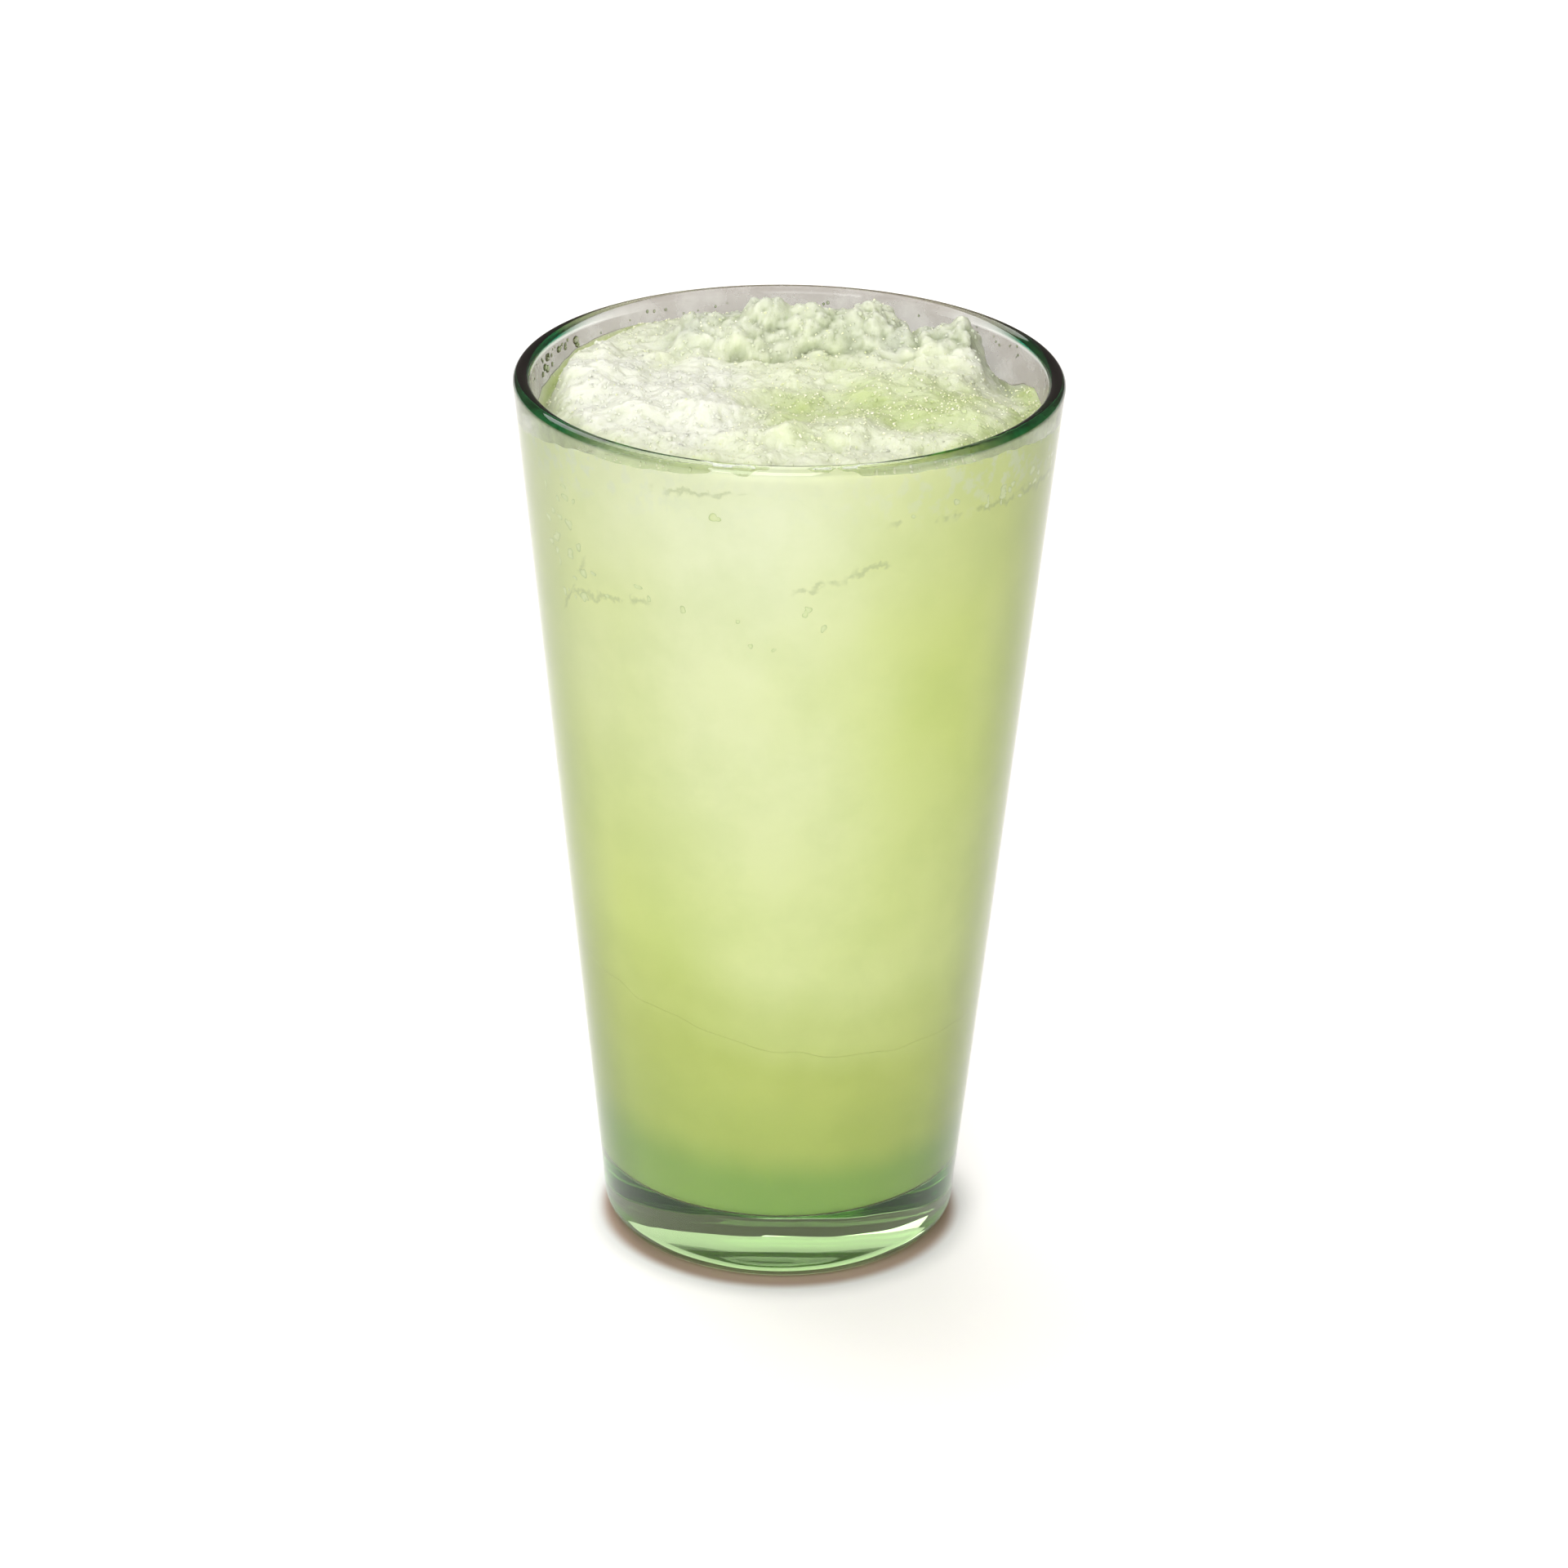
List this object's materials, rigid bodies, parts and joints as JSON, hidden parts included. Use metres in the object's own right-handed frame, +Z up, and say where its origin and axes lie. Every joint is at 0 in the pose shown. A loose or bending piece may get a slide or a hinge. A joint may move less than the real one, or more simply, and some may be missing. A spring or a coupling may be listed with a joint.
{
  "type": "lemon slush in a glass",
  "caption": "Pale lemon slush heaped to the lip of a tall tapered clear tumbler with a thick base, with a layer of melt at the bottom.",
  "frame": {"origin": "middle of the foot, on the surface that the glass stands on", "axes": "+Z up along the glass's axis, -Y is the front that the picture shows"},
  "size_m": [0.089, 0.0889, 0.1544],
  "materials": {
    "clear_glass": "clear pressed soda-lime glass with a green cast where it is seen edge on",
    "lemon_ice": "packed wet ice grains, pale yellow-green, stands in for frozen lemon drink",
    "lemon_melt": "cloudy yellow-green liquid, stands in for melted lemon drink"
  },
  "bodies": {
    "root": {"glass": "clear_glass", "slush": "lemon_ice", "melt": "lemon_melt"}
  },
  "joints": []
}
